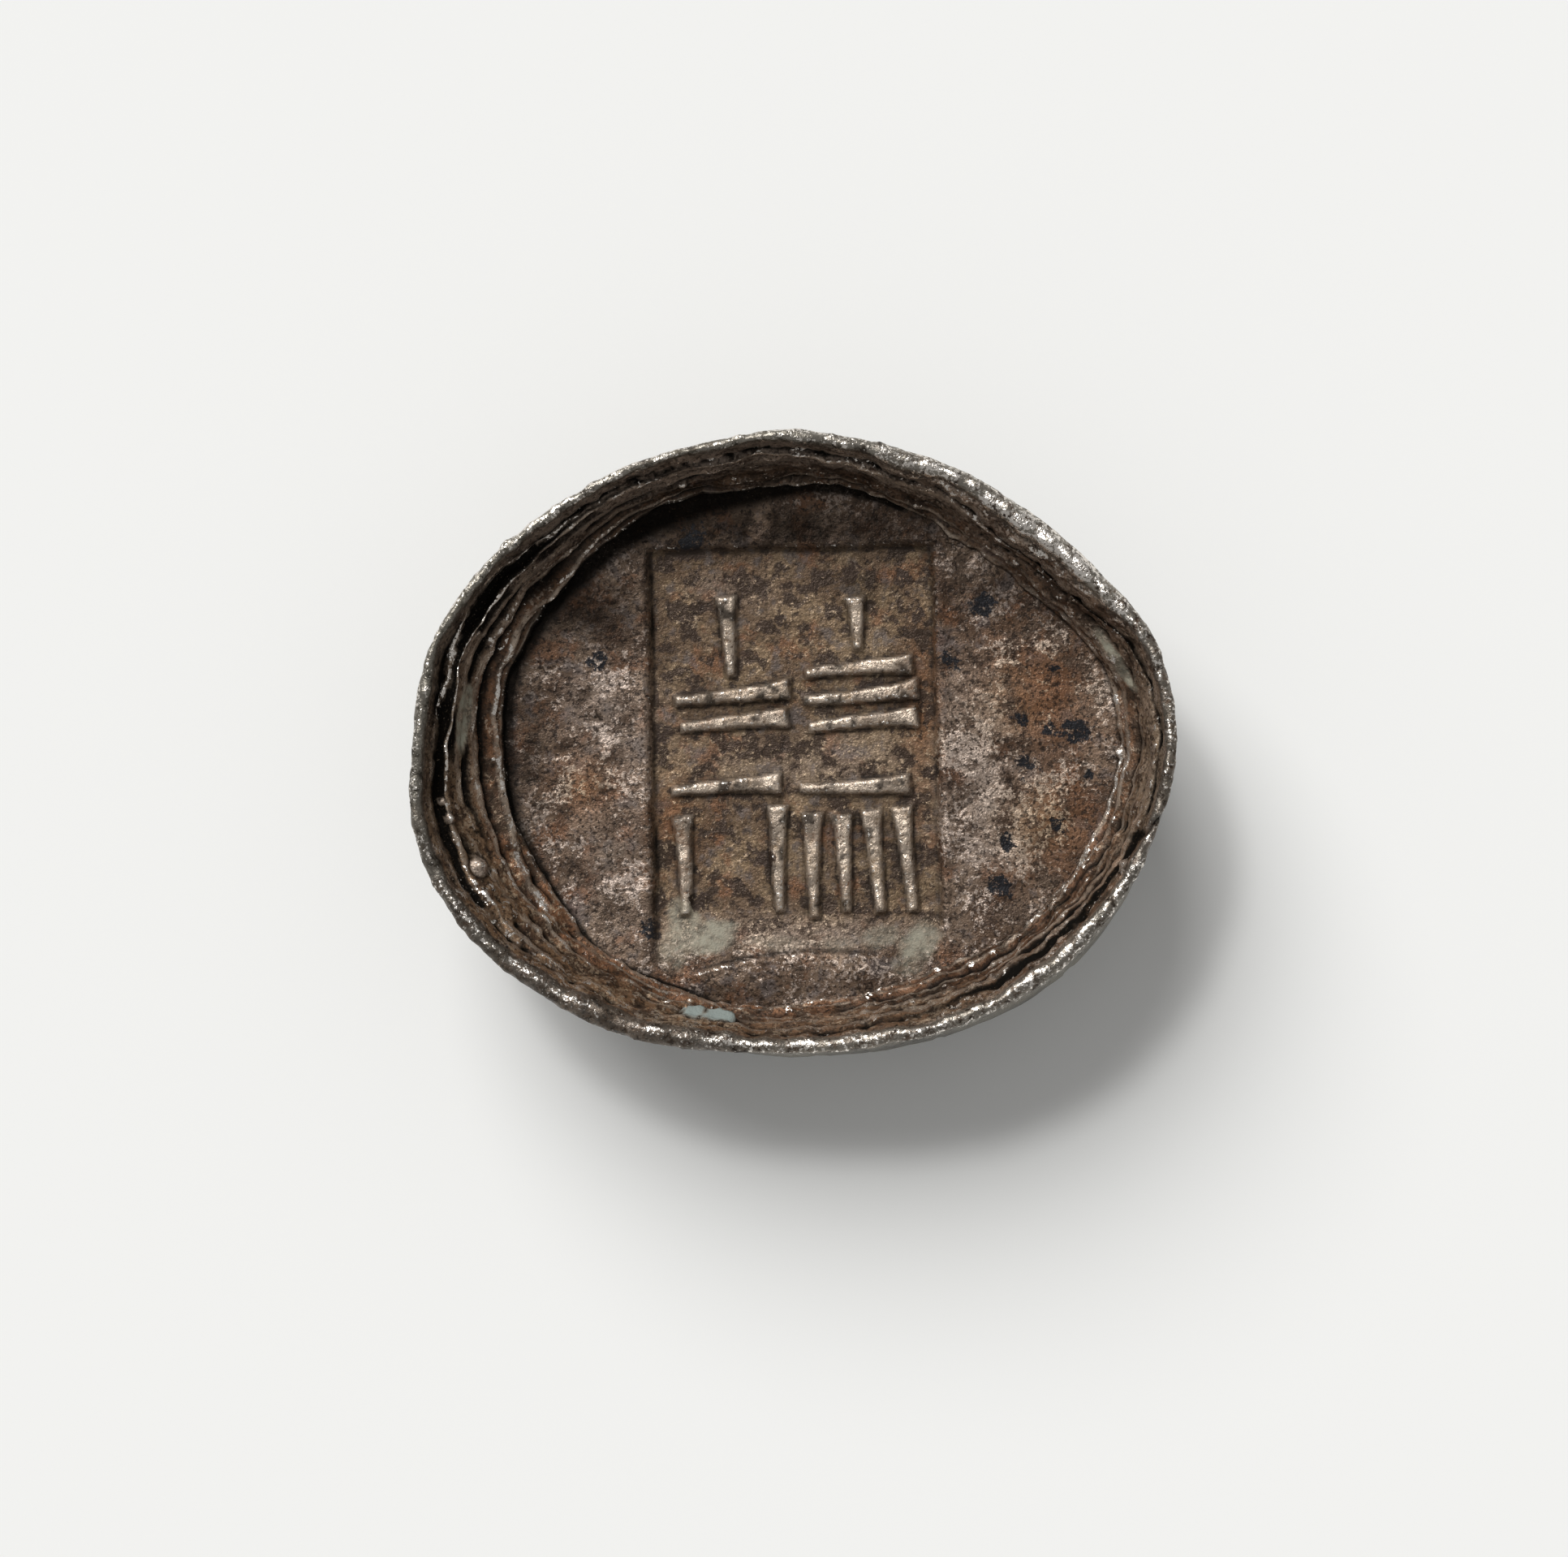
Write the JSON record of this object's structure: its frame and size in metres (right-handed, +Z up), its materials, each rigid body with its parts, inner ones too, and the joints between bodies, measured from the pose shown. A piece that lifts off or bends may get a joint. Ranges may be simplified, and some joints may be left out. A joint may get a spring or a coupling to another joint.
{
  "type": "sycee ingot",
  "caption": "Oval cast silver ingot with a rounded lip, a rippled hollow face and a struck panel of raised counting-rod numerals. It stands on its flat base.",
  "frame": {"origin": "centre of the flat base, on the face that the ingot rests on", "axes": "+X along the ingot, +Y across it, +Z up out of the hollow face"},
  "size_m": [0.0501, 0.0411, 0.0155],
  "materials": {
    "tarnished_silver": "cast silver with a brown and black tarnish, bright where the lip and the ripples are rubbed"
  },
  "bodies": {
    "root": {"ingot_casting": "tarnished_silver"}
  },
  "joints": []
}
